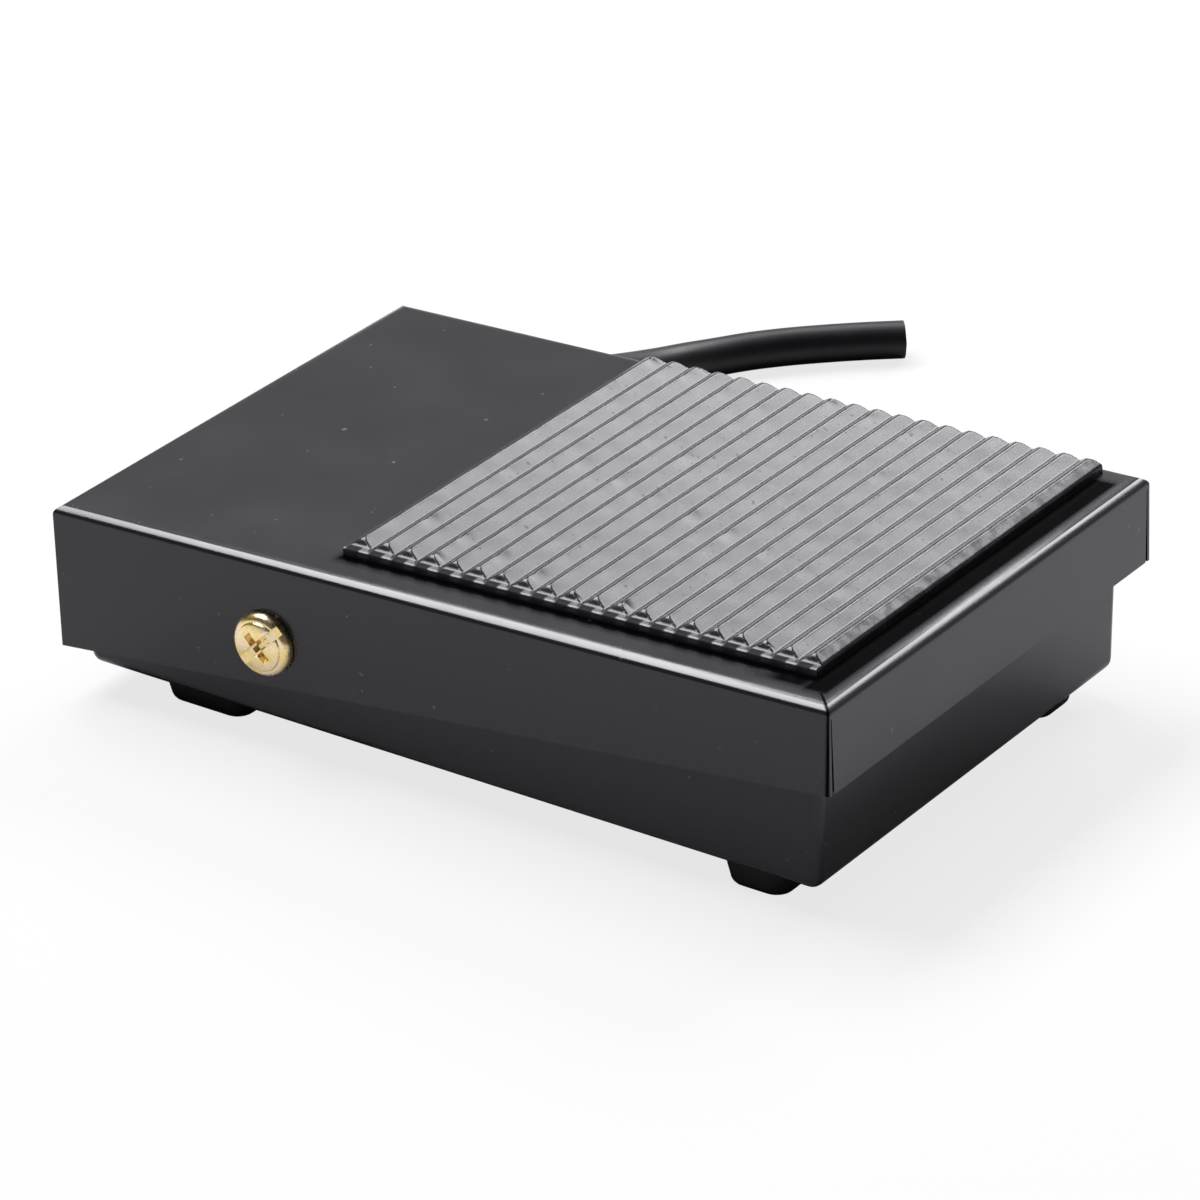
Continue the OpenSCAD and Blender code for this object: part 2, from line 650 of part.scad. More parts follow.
// Two saddles screwed to the floor, one under the cable and one over it
module saddle_block(z0, z1) {
    difference() {
        translate([cable_x - saddle_l / 2, saddle_mid_y - saddle_y / 2, z0])
            cube([saddle_l, saddle_y, z1 - z0]);
        rod_y(cable_d + 2 * slip, cable_x, cable_z, 0, base_w);
        for (i = [-1, 1]) translate([cable_x + i * saddle_hole, saddle_mid_y, 0])
            cylinder(d = saddle_screw_d + 2 * slip, h = wall_z);
    }
}
module saddle_lower() {
    color("#d9d7cf") saddle_block(floor_z, cable_z - 0.2);
}
module saddle_upper() {
    color("#d9d7cf") saddle_block(cable_z + 0.2, cable_z + cable_d / 2 + saddle_t);
}
module saddle_screws() {
    top = cable_z + cable_d / 2 + saddle_t;
    color("#c4c7ca") for (i = [-1, 1]) translate([cable_x + i * saddle_hole, saddle_mid_y, 0])
        difference() {
            union() {
                translate([0, 0, floor_z]) cylinder(d = saddle_screw_d, h = top - floor_z);
                translate([0, 0, top]) cylinder(d = saddle_head_d, h = saddle_head_h);
            }
            for (a = [0, 90]) rotate([0, 0, a]) translate([0, 0, top + saddle_head_h])
                cube([0.6 * saddle_head_d, 0.15 * saddle_head_d, saddle_head_h], center = true);
        }
}

base_tray();
foot_front_near();
foot_front_far();
foot_rear_near();
foot_rear_far();
pivot_screw_near();
pivot_screw_far();
pivot_nut_near();
pivot_nut_far();
pivot_washer_near();
pivot_washer_far();
pedal_cover();
tread_pad();
spring_cap();
spring_seat();
return_spring();
switch_case();
switch_lid();
switch_plunger();
switch_bracket();
switch_screws();
switch_nuts();
terminal_common();
terminal_closed();
terminal_open();
sleeve_common();
sleeve_open();
cable_grommet();
cable_tail();
core_brown();
core_blue();
saddle_lower();
saddle_upper();
saddle_screws();
cable();
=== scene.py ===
# %% [markdown]
# # An industrial foot switch, dressed for its picture
# The mechanical model is already packed as a frame: a folded steel pedal on two screws over a
# folded steel tray, with a snap-action switch inside. Here each surface that the eye meets is
# modelled again with its bends, edges and finish, and the hidden works get their real materials.
# Lengths are written in millimetres and turned into Blender's metres in one place.

# %% Load the frame
import math

import bmesh
import bpy
from mathutils import Matrix, Vector


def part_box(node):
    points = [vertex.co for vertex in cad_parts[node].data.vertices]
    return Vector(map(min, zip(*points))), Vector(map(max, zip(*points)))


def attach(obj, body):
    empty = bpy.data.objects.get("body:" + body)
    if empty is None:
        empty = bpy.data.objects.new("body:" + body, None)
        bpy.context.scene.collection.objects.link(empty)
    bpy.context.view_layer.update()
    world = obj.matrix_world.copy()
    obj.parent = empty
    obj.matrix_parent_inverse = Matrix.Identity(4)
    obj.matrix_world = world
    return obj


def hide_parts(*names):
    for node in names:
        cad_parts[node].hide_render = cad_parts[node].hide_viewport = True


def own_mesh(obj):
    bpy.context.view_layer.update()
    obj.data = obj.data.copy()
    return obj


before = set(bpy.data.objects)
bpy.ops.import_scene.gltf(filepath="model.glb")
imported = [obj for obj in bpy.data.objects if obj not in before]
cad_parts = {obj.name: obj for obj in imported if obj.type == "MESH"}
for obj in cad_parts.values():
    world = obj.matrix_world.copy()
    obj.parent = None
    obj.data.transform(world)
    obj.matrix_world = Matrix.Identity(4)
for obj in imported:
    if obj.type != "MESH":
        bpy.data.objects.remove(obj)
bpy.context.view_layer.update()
MM = 0.001

# %% [markdown]
# ## The camera
# A long lens from a little over seventy centimetres keeps the edges nearly parallel, as in a
# catalogue picture. The camera looks down at about 27 degrees, from the side of the near screw.

# %% Camera
CAMERA_TURN = math.radians(33.76)
CAMERA_RISE = math.radians(26.61)
CAMERA_AWAY = 707.3 * MM
LENS = 197.8


def camera_axes(turn, rise):
    """Right, up and backward directions of a camera that is turned from -Y towards +X."""
    back = Vector((math.sin(turn) * math.cos(rise), -math.cos(turn) * math.cos(rise), math.sin(rise)))
    right = Vector((0, 0, 1)).cross(back).normalized()
    return right, back.cross(right), back


right, up, back = camera_axes(CAMERA_TURN, CAMERA_RISE)
aim = Vector((0, 0, 19 * MM)) - right * 0.15 * MM - up * 7.07 * MM
camera_data = bpy.data.cameras.new("camera")
camera_data.sensor_width = 36
camera_data.lens = LENS
camera_data.clip_start = 0.05
camera = bpy.data.objects.new("camera", camera_data)
bpy.context.scene.collection.objects.link(camera)
turn_matrix = Matrix((right, up, back)).transposed().to_4x4()
camera.matrix_world = Matrix.Translation(aim + back * CAMERA_AWAY) @ turn_matrix
bpy.context.scene.camera = camera
bpy.context.scene.view_settings.view_transform = "Standard"
print("camera at", [round(v / MM) for v in camera.location], "mm")

# %% [markdown]
# ## Small helpers
# One function turns a hex colour, as a paint chart gives it, into the linear numbers that the
# renderer works in. One adds a node and wires it. One turns a finished bmesh into a piece that
# sits at the origin and rides on a body of the frame.

# %% Helpers for colours and nodes
def paint(code):
    """Linear colour with alpha from an sRGB hex code such as '#1c1d1f'."""
    shades = [int(code[i:i + 2], 16) / 255 for i in (1, 3, 5)]
    return [s / 12.92 if s <= 0.04045 else ((s + 0.055) / 1.055) ** 2.4 for s in shades] + [1]


def add(tree, kind, inputs=None, **settings):
    """Adds a node, sets its properties, and fills its sockets with values or other outputs."""
    node = tree.nodes.new(kind)
    for name, value in settings.items():
        setattr(node, name, value)
    for name, value in (inputs or {}).items():
        if isinstance(value, bpy.types.NodeSocket):
            tree.links.new(value, node.inputs[name])
        else:
            node.inputs[name].default_value = value
    return node


def ramp(tree, factor, stops):
    """Colour ramp on a factor; stops are (position, hex code or grey level)."""
    node = add(tree, "ShaderNodeValToRGB", {"Fac": factor})
    band = node.color_ramp
    while len(band.elements) < len(stops):
        band.elements.new(0.5)
    for element, (place, shade) in zip(band.elements, stops):
        element.position = place
        element.color = paint(shade) if isinstance(shade, str) else [shade] * 3 + [1]
    return node.outputs["Color"]


def new_material(name):
    """A material with its shader, and the piece's own coordinates in metres."""
    material = bpy.data.materials.new(name)
    material.use_nodes = True
    tree = material.node_tree
    shader = tree.nodes["Principled BSDF"]
    place = add(tree, "ShaderNodeTexCoord").outputs["Object"]
    return material, tree, shader, place


def grain(tree, place, size_mm, detail=2.0, roughness=0.5):
    """Noise whose lumps are about size_mm across."""
    return add(tree, "ShaderNodeTexNoise", {"Vector": place, "Scale": 1 / (size_mm * MM),
               "Detail": detail, "Roughness": roughness}).outputs["Fac"]


def bump(tree, shader, height, depth_mm, strength=1.0):
    """Bump from a height pattern that is depth_mm deep, added to what the shader already has."""
    inputs = {"Height": height, "Distance": depth_mm * MM, "Strength": strength}
    if shader.inputs["Normal"].links:
        inputs["Normal"] = shader.inputs["Normal"].links[0].from_socket
    node = add(tree, "ShaderNodeBump", inputs)
    tree.links.new(node.outputs["Normal"], shader.inputs["Normal"])


# %% Helpers for meshes
def round_edges(bm, edges, radius, segments):
    """Bevels edges to a radius."""
    bmesh.ops.bevel(bm, geom=edges, offset=radius, offset_type="OFFSET", affect="EDGES",
                    segments=segments, profile=0.5, material=-1, clamp_overlap=True)


def mesh_object(bm, name):
    """Links a bmesh drawn in millimetres as an object in metres at the origin."""
    bmesh.ops.scale(bm, vec=(MM, MM, MM), verts=bm.verts)
    mesh = bpy.data.meshes.new(name)
    bm.to_mesh(mesh)
    bm.free()
    piece = bpy.data.objects.new(name, mesh)
    bpy.context.scene.collection.objects.link(piece)
    return piece


TO_MM = Matrix.Diagonal((1 / MM,) * 3 + (1,))
TO_METRES = Matrix.Diagonal((MM,) * 3 + (1,))


def cut(piece, cutter):
    """Cuts one mesh object out of another for good, and removes the cutter."""
    boolean = piece.modifiers.new("cut", "BOOLEAN")
    boolean.operation = "DIFFERENCE"
    boolean.solver = "EXACT"
    boolean.object = cutter
    settle(piece)
    bpy.data.objects.remove(cutter)


def settle(piece):
    """Applies a piece's modifiers to its mesh."""
    shown = piece.evaluated_get(bpy.context.evaluated_depsgraph_get())
    mesh = bpy.data.meshes.new_from_object(shown)
    piece.modifiers.clear()
    piece.data = mesh


def soften(piece, width_mm, angle=35):
    """Breaks the sharp edges, as paint, moulding or tumbling leaves them."""
    edge = piece.modifiers.new("edge", "BEVEL")
    edge.width = width_mm * MM
    edge.segments = 2
    edge.limit_method = "ANGLE"
    edge.angle_limit = math.radians(angle)
    settle(piece)


def finish_piece(piece, body, material, nodes=(), angle=35):
    """Shades a piece, gives it its material, and ties it to the frame."""
    piece.data.shade_smooth()
    piece.data.set_sharp_from_angle(angle=math.radians(angle))
    flats = piece.modifiers.new("flats", "WEIGHTED_NORMAL")
    flats.keep_sharp = True
    settle(piece)
    piece.data.materials.clear()
    piece.data.materials.append(material)
    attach(piece, body)
    if nodes:
        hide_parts(*nodes)
    print(f"{piece.name}: {len(piece.data.polygons)} faces, rides on {body}")
    return piece


# %% [markdown]
# ## The sizes that drive the picture
# They are the sheet-metal worker's sizes: the lengths over the folds, the sheet, the holes and
# the slits. The tread's X is measured from the hinge end of the cover, which lies over the tray
# at a slope. PAD_REAR and PAD_TOE are the ends of the pad in the frame; they place the painted
# shade round the pad and the dulled toe.

# %% Sizes
COVER = {"length": 98.0, "width": 64.7, "sheet": 1.0, "rear": 16.7, "front": 10.0}
SLIT = {"top": 1.5, "edge": 0.42, "width": 0.14, "foot": 0.6, "deep": 2.5}
TILT = math.radians(2.23)
BASE = {"length": 93.2, "width": 60.8, "sheet": 1.0, "wall": 17.8, "radius": 1.4}
FOOT_HEIGHT = 3.3
PIVOT = Vector((-21.0, 0, 13.7))
CABLE = {"diameter": 4.6, "core": 1.7, "x": -38.0, "z": 10.2}
TREAD = {"ribs": 20, "pitch": 2.94, "height": 0.8, "web": 0.88, "x": 34.7, "near": -27.15, "far": 30.4}
HOLES = {"pivot_cover": 4.12, "pivot_tray": 4.1, "cable_notch": 9.0, "cable_tray": 7.1}
PAD_REAR = TREAD["x"] - 49.6
PAD_TOE = TREAD["x"] + TREAD["ribs"] * TREAD["pitch"] - 49.2

span = COVER["length"] * math.cos(TILT) + COVER["front"] * math.sin(TILT)
cover_height = 22.301
cover_corner = Vector((-span / 2, 0, cover_height))
cover_place = Matrix.Translation(cover_corner) @ Matrix.Rotation(-TILT, 4, "Y")
cover_box = [round(v / MM, 2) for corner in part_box("pedal_cover") for v in corner]
print("cover box in the frame, mm:", cover_box)

# %% [markdown]
# ## The cable
# A round two-core lead leaves the grommet near the hinge, runs straight out for a few
# diameters, sinks to the floor under its own weight and lies there in one lazy curve. Its far
# end is cut square, with the two cores showing in the jacket. The points of the route are those
# of the mechanical model. A smooth curve through them gives the centreline, a bevelled curve
# gives the skin, and the mesh made from it can have its cut edge softened.

# %% Cable route
ROUTE = [(-38, 34.15, 10.2), (-38, 40, 10.2), (-38, 44, 9.8), (-38, 48, 8.9), (-38, 52, 7.8),
         (-38, 56, 6.6), (-38, 60, 5.4), (-37.8, 64, 4.3), (-37.2, 68, 3.4), (-36.1, 72, 2.8),
         (-34.3, 76, 2.4), (-31.8, 80, 2.3), (-28.8, 83.5, 2.3), (-25.5, 86.8, 2.3),
         (-22, 90, 2.3), (-18.4, 93, 2.3)]


def smooth_route(points, steps):
    """Points of a Catmull-Rom curve through a route."""
    p = [Vector(v) for v in points]
    p = [2 * p[0] - p[1]] + p + [2 * p[-1] - p[-2]]
    out = []
    for a, b, c, d in zip(p, p[1:], p[2:], p[3:]):
        for i in range(steps):
            t = i / steps
            out.append(0.5 * (2 * b + (c - a) * t + (2 * a - 5 * b + 4 * c - d) * t ** 2
                              + (3 * b - a - 3 * c + d) * t ** 3))
    return out + [p[-2]]


centreline = smooth_route(ROUTE, 4)


# %% Cable skin
def skin_along(points, diameter, name, sides=8):
    """Mesh tube along a list of points, made from a bevelled curve."""
    data = bpy.data.curves.new(name, "CURVE")
    data.dimensions = "3D"
    data.bevel_depth = diameter / 2 * MM
    data.bevel_resolution = sides
    data.use_fill_caps = True
    spline = data.splines.new("POLY")
    spline.points.add(len(points) - 1)
    for point, place in zip(spline.points, points):
        point.co = (*(place * MM), 1)
    holder = bpy.data.objects.new(name, data)
    bpy.context.scene.collection.objects.link(holder)
    shown = holder.evaluated_get(bpy.context.evaluated_depsgraph_get())
    mesh = bpy.data.meshes.new_from_object(shown)
    bpy.data.objects.remove(holder)
    bm = bmesh.new()
    bm.from_mesh(mesh)
    bmesh.ops.remove_doubles(bm, verts=bm.verts, dist=0.001 * MM)
    bmesh.ops.recalc_face_normals(bm, faces=bm.faces)
    return bm


end_way = (centreline[-1] - centreline[-2]).normalized()
cable_skin = skin_along(centreline, CABLE["diameter"], "cable_skin")
rim = [e for e in cable_skin.edges
       if all(((v.co / MM - centreline[-1]).dot(end_way)) > -0.01 for v in e.verts)
       and any(len(f.verts) > 4 for f in e.link_faces)]
round_edges(cable_skin, rim, 0.35 * MM, 3)
bmesh.ops.scale(cable_skin, vec=(1 / MM, 1 / MM, 1 / MM), verts=cable_skin.verts)
cable = mesh_object(cable_skin, "cable_jacket")


# %% Cut cores in the cable's end
def rod_towards(bm, start, way, diameter, length, sides=20):
    """Adds a cylinder that starts at a point and runs along a direction."""
    turn = way.to_track_quat("Z", "Y").to_matrix().to_4x4()
    place = Matrix.Translation(start + way * length / 2) @ turn
    bmesh.ops.create_cone(bm, cap_ends=True, segments=sides, radius1=diameter / 2,
                          radius2=diameter / 2, depth=length, matrix=place)


sideways = end_way.cross(Vector((0, 0, 1))).normalized()


def cut_core(name, offset, proud):
    """Insulation of one core, cut just proud of the jacket's end."""
    bm = bmesh.new()
    start = centreline[-1] + sideways * offset - end_way * 1.0
    rod_towards(bm, start, end_way, CABLE["core"], 1.0 + proud)
    return mesh_object(bm, name)


def cut_strands(name, offset, proud):
    """Seven copper strands, cut with the insulation."""
    bm = bmesh.new()
    upward, strand = sideways.cross(end_way), 0.27
    middle = centreline[-1] + sideways * offset - end_way * 0.6
    ring = [(0, 0)] + [(math.cos(a), math.sin(a)) for a in [math.pi * i / 3 for i in range(6)]]
    for u, v in ring:
        rod_towards(bm, middle + (sideways * u + upward * v) * strand, end_way, strand,
                    0.6 + proud + 0.08, sides=10)
    return mesh_object(bm, name)


core_aside = 0.98
core_brown_end = cut_core("core_end_brown", -core_aside, 0.12)
core_blue_end = cut_core("core_end_blue", core_aside, 0.1)
strands_brown = cut_strands("strands_brown", -core_aside, 0.12)
strands_blue = cut_strands("strands_blue", core_aside, 0.1)

# %% [markdown]
# ## Black stoving enamel
# The pedal and the tray are pressed steel sprayed with black enamel and baked. Enamel is glassy
# (index about 1.5) but never flat: it dries with a faint orange peel about a millimetre across,
# the pressing leaves the sheet slightly wavy, and dust settles on it as pale specks. Those three
# sizes are three noises. Handling polishes it in patches, so the roughness wanders too. Round the
# glued pad, and in a thin line across the near front corner, the cover's colour and shine are
# turned down: painted shade that darkens the enamel's reflection there.

# %% Enamel
def band(tree, value, low_mm, high_mm, soft_mm=0.2):
    """1 between two places along an axis, falling softly to 0 outside them."""
    rise = add(tree, "ShaderNodeMapRange", {"Value": value, "From Min": (low_mm - soft_mm) * MM,
               "From Max": (low_mm + soft_mm) * MM}).outputs[0]
    fall = add(tree, "ShaderNodeMapRange", {"Value": value, "From Min": (high_mm + soft_mm) * MM,
               "From Max": (high_mm - soft_mm) * MM}).outputs[0]
    return calculate(tree, "MULTIPLY", rise, fall)


def calculate(tree, operation, a, b):
    """Sum, product or the like of two values."""
    node = add(tree, "ShaderNodeMath", {0: a, 1: b})
    node.operation = operation
    return node.outputs[0]


def patch(tree, axis, x0, x1, soft_x, y0, y1, soft_y):
    """1 inside a rectangle on the cover, with soft sides."""
    return calculate(tree, "MULTIPLY", band(tree, axis["X"], x0, x1, soft_x),
                     band(tree, axis["Y"], y0, y1, soft_y))


def pad_shade_mask(tree, place):
    """1 round the pad and on a thin mitre line across the near front corner: painted shade that darkens
    the enamel's reflection there.
    """
    axis = add(tree, "ShaderNodeSeparateXYZ", {"Vector": place}).outputs
    near, toe = TREAD["near"], PAD_TOE
    beside = patch(tree, axis, PAD_REAR, toe + 1, 0.5, near - 1.5, near + 1, 0.7)
    ahead = patch(tree, axis, toe - 0.3, toe + 2.7, 0.3, near - 3.0, TREAD["far"] - 1.5, 0.6)
    corner = patch(tree, axis, toe - 6, toe + 1.5, 2.5, near - 2.7, near + 1, 0.6)
    diagonal = calculate(tree, "ADD", axis["X"], axis["Y"])
    mitre = calculate(tree, "MULTIPLY", band(tree, axis["X"], toe + 1.5, toe + 6, 0.5),
                      band(tree, diagonal, toe + near - 0.95, toe + near - 0.45, 0.15))
    pad_shade = beside
    for more in (ahead, corner, mitre):
        pad_shade = calculate(tree, "MAXIMUM", pad_shade, more)
    return pad_shade


def black_enamel(name, code, dust=0.5, shine=0.5, shade_by_pad=False):
    """Baked black enamel on pressed steel."""
    material, tree, shader, place = new_material(name)
    patches = grain(tree, place, 14, detail=3)
    specks = grain(tree, place, 1.1, detail=1)
    colour = ramp(tree, specks, [(0.0, code), (0.79 - 0.04 * dust, code), (0.81, "#4e4e51")])
    tree.links.new(colour, shader.inputs["Base Color"])
    gloss = ramp(tree, patches, [(0.3, 0.19), (0.7, 0.27)])
    tree.links.new(gloss, shader.inputs["Roughness"])
    shader.inputs["IOR"].default_value = 1.46
    shader.inputs["Specular IOR Level"].default_value = shine
    # Painted shade: round the pad and on the near corner's mitre line, shine and colour are turned down
    # to darken the reflection.
    if shade_by_pad:
        smear = pad_shade_mask(tree, place)
        dull = add(tree, "ShaderNodeMapRange", {"Value": smear, "To Min": shine, "To Max": 0.01})
        tree.links.new(dull.outputs[0], shader.inputs["Specular IOR Level"])
        black = add(tree, "ShaderNodeVectorMath", {"Vector": colour, "Scale": ramp(tree, smear,
                    [(0.0, 1.0), (1.0, 0.12)])}, operation="SCALE")
        tree.links.new(black.outputs[0], shader.inputs["Base Color"])
    bump(tree, shader, grain(tree, place, 1.3, detail=2), 0.004, 0.35)
    bump(tree, shader, grain(tree, place, 26, detail=1), 0.05, 0.2)
    return material


cover_enamel = black_enamel("black_enamel_cover", "#17171b", shade_by_pad=True)
base_enamel = black_enamel("black_enamel_base", "#131316", dust=0.2, shine=0.42)


# %% [markdown]
# ## The pedal cover
# On the real switch one steel blank is folded down on four sides. The fold starts as a wide,
# gentle bend on the flat and ends in a tight one at the skirt, so that a broad line of light lies
# on it. The blank is drawn as rings from the skirts' lower edge, up over the fold and in to the
# flat, and solidify gives the walls their sheet. The skirts meet at the corners in an open slit
# that widens downwards. The slits, the pivot holes and the notch for the cable are cut out
# afterwards, as a press would.

# %% Cover blank
def box(bm, low, high):
    """Adds a box between two corners and returns its vertices."""
    low, high = Vector(low), Vector(high)
    place = Matrix.Translation((low + high) / 2) @ Matrix.Diagonal((*(high - low), 1))
    return bmesh.ops.create_cube(bm, size=1, matrix=place)["verts"]


def fold_steps():
    """(inset, drop) pairs from the side of a skirt up over the fold and in to the flat."""
    steps, inset, drop, count = [], 0.0, 0.0, 8
    bends = [(0.2, tilt) for tilt in (1, 4, 9)]
    for start, end, radius in ((10, 40, 2.3), (40, 90, 0.75)):
        arc = (end - start) / count
        bends += [(math.radians(arc) * radius, start + arc * (i + 0.5)) for i in range(count)]
    for length, tilt in bends:
        steps.append((inset, drop))
        inset += length * math.cos(math.radians(tilt))
        drop += length * math.sin(math.radians(tilt))
    steps.append((inset, drop))
    return [(inset - i, d) for i, d in reversed(steps)]


def ring_of(bm, inset, deep_rear, deep_front):
    """Rectangle of four vertices, inset from the outline of the cover."""
    half, long = COVER["width"] / 2 - inset, COVER["length"]
    corners = [(inset, -half, -deep_rear), (long - inset, -half, -deep_front),
               (long - inset, half, -deep_front), (inset, half, -deep_rear)]
    return [bm.verts.new(corner) for corner in corners]


def folded_cover():
    """The folded blank in its own frame: X from the hinge end, Z = 0 on the flat."""
    bm = bmesh.new()
    steps = fold_steps()
    rings = [ring_of(bm, 0, COVER["rear"], COVER["front"])]
    rings += [ring_of(bm, inset, drop, drop) for inset, drop in steps]
    for low, high in zip(rings, rings[1:]):
        for i in range(len(low)):
            j = (i + 1) % len(low)
            bm.faces.new((low[i], low[j], high[j], high[i]))
    bm.faces.new(rings[-1])
    bmesh.ops.recalc_face_normals(bm, faces=bm.faces)
    bmesh.ops.solidify(bm, geom=bm.faces, thickness=COVER["sheet"])
    bmesh.ops.recalc_face_normals(bm, faces=bm.faces)
    print(f"fold: {steps[-1][0]:.2f} mm wide, {steps[0][1]:.2f} mm deep")
    return mesh_object(bm, "pedal_cover_shell")


def corner_slits():
    """Cutter for the slit between an end skirt and each side skirt, which widens downwards."""
    bm = bmesh.new()
    edge, beyond, foot = COVER["width"] / 2 - SLIT["edge"], 3.0, COVER["rear"] + 1
    for end, out in ((0, -1), (COVER["length"], 1)):
        for side in (-1, 1):
            x0, x1 = sorted((end - out * SLIT["deep"], end + out * beyond))
            y0, y1 = sorted((side * (edge - SLIT["width"]), side * edge))
            for v in box(bm, (x0, y0, -foot), (x1, y1, -SLIT["top"])):
                if v.co.z < -foot + 0.001 and abs(v.co.y) < edge - 0.001:
                    v.co.y = side * (edge - SLIT["foot"])
    return mesh_object(bm, "corner_slits")


cover = folded_cover()
cut(cover, corner_slits())
print("cover with its slits:", len(cover.data.polygons), "faces")
for step in (TO_MM, cover_place, TO_METRES):
    cover.data.transform(step)


# %% Holes in the cover
def rod_across(diameter, x, z, y0, y1, name, sides=48):
    """Cutter: a cylinder along Y."""
    bm = bmesh.new()
    rod_towards(bm, Vector((x, y0, z)), Vector((0, 1, 0)), diameter, y1 - y0, sides)
    return mesh_object(bm, name)


cut(cover, rod_across(HOLES["pivot_cover"], PIVOT.x, PIVOT.z, -40, 40, "pivot_hole"))
notch = HOLES["cable_notch"]
cut(cover, rod_across(notch, CABLE["x"], CABLE["z"], 30, 40, "notch_round"))
notch_foot = bmesh.new()
box(notch_foot, (CABLE["x"] - notch / 2, 30, 0), (CABLE["x"] + notch / 2, 40, CABLE["z"]))
cut(cover, mesh_object(notch_foot, "notch_foot"))
soften(cover, 0.14)
finish_piece(cover, "pedal", cover_enamel, ["pedal_cover"])

# %% [markdown]
# ## The base tray
# The tray is drawn from one sheet, so its lower edges and corners are rounded and have no slit.
# Here every edge but the open rim is bevelled at once, and the walls get their sheet inwards.

# %% Base tray
def drawn_tray():
    """Open tray with rounded lower edges and corners."""
    bm = bmesh.new()
    half_x, half_y = BASE["length"] / 2, BASE["width"] / 2
    top = FOOT_HEIGHT + BASE["wall"]
    box(bm, (-half_x, -half_y, FOOT_HEIGHT), (half_x, half_y, top))
    folds = [e for e in bm.edges if not all(v.co.z > top - 0.001 for v in e.verts)]
    round_edges(bm, folds, BASE["radius"], 6)
    lid = [f for f in bm.faces if f.normal.z > 0.5]
    bmesh.ops.delete(bm, geom=lid, context="FACES_ONLY")
    bmesh.ops.recalc_face_normals(bm, faces=bm.faces)
    bmesh.ops.solidify(bm, geom=bm.faces, thickness=BASE["sheet"])
    bmesh.ops.recalc_face_normals(bm, faces=bm.faces)
    return mesh_object(bm, "base_tray_shell")


tray = drawn_tray()
cut(tray, rod_across(HOLES["pivot_tray"], PIVOT.x, PIVOT.z, -40, 40, "tray_pivot_hole"))
cut(tray, rod_across(HOLES["cable_tray"], CABLE["x"], CABLE["z"], 20, 40, "tray_cable_hole"))
soften(tray, 0.15)
finish_piece(tray, "base", base_enamel, ["base_tray"])

# %% [markdown]
# ## The tread
# A moulded pad with twenty ridges across it gives the shoe its grip. A ridge has straight flanks
# at a little over 30 degrees and a small round crest, and its ends are rounded down to the web.
# The section along the pedal is drawn once as a chain of edges, then extruded across in many
# short steps, and each step caps the height of the ridges by how far it is from the pad's side.

# %% Tread section
def tread_section():
    """Points (x, z) of the pad's upper outline, from the hinge end to the toe end."""
    pitch, high, web = TREAD["pitch"], TREAD["height"], TREAD["web"]
    top, nose, gap = pitch / 2, 0.2, 0.06
    flank = top - nose - gap
    rear = [(gap + flank * i / 6, (high - gap) * i / 6) for i in range(7)]
    crest = [(top - 0.15, high), (top + 0.13, high)]
    front = [(top + nose + flank * i / 12, (high - gap) * (1 - i / 12)) for i in range(13)]
    points = [(0.0, web)]
    for i in range(TREAD["ribs"] - 1):
        points += [(i * pitch + x, web + z) for x, z in rear + crest + front]
    last = (TREAD["ribs"] - 1) * pitch
    points += [(last + x, web + z) for x, z in rear + crest]
    toe = [(nose + 0.96 * i / 8, (high - gap) * (1 - 0.8 * i / 8)) for i in range(9)]
    toe += [(1.24, 0.06), (1.29, -0.08), (1.32, -0.3), (1.34, -0.6)]
    return points + [(last + top + x, web + z) for x, z in toe]


NEAR_END = [(0, -0.2), (0.14, -0.07), (0.34, 0.0), (1.0, 0.02), (1.16, 0.08), (1.34, 0.3), (1.5, 0.52),
            (1.66, 0.65), (1.82, 0.73), (2.0, 0.77), (2.2, 0.79), (2.5, 0.8)]
FAR_END = [(0, 0.1), (0.1, 0.28), (0.22, 0.46), (0.36, 0.6), (0.54, 0.69), (0.76, 0.76), (1.1, 0.8)]


def end_height(y):
    """Height above the web that a rib may have at a place across the pad."""
    profile, distance = NEAR_END, y - TREAD["near"]
    if TREAD["far"] - y < distance:
        profile, distance = FAR_END, TREAD["far"] - y
    for (d0, h0), (d1, h1) in zip(profile, profile[1:]):
        if distance <= d1:
            return h0 + (h1 - h0) * (distance - d0) / (d1 - d0)
    return TREAD["height"]


def wear(x, y, rib):
    """Small height errors of a ridge: slow waves along it and a nick here and there."""
    slow = 0.035 * math.sin(0.9 * y + 2.1 * rib) * math.sin(0.37 * y + 1.3 * rib)
    nick = max(0.0, math.sin(3.7 * y + 5.1 * rib) * math.sin(1.13 * y + 2.7 * rib) - 0.86) * 0.9
    return slow - nick


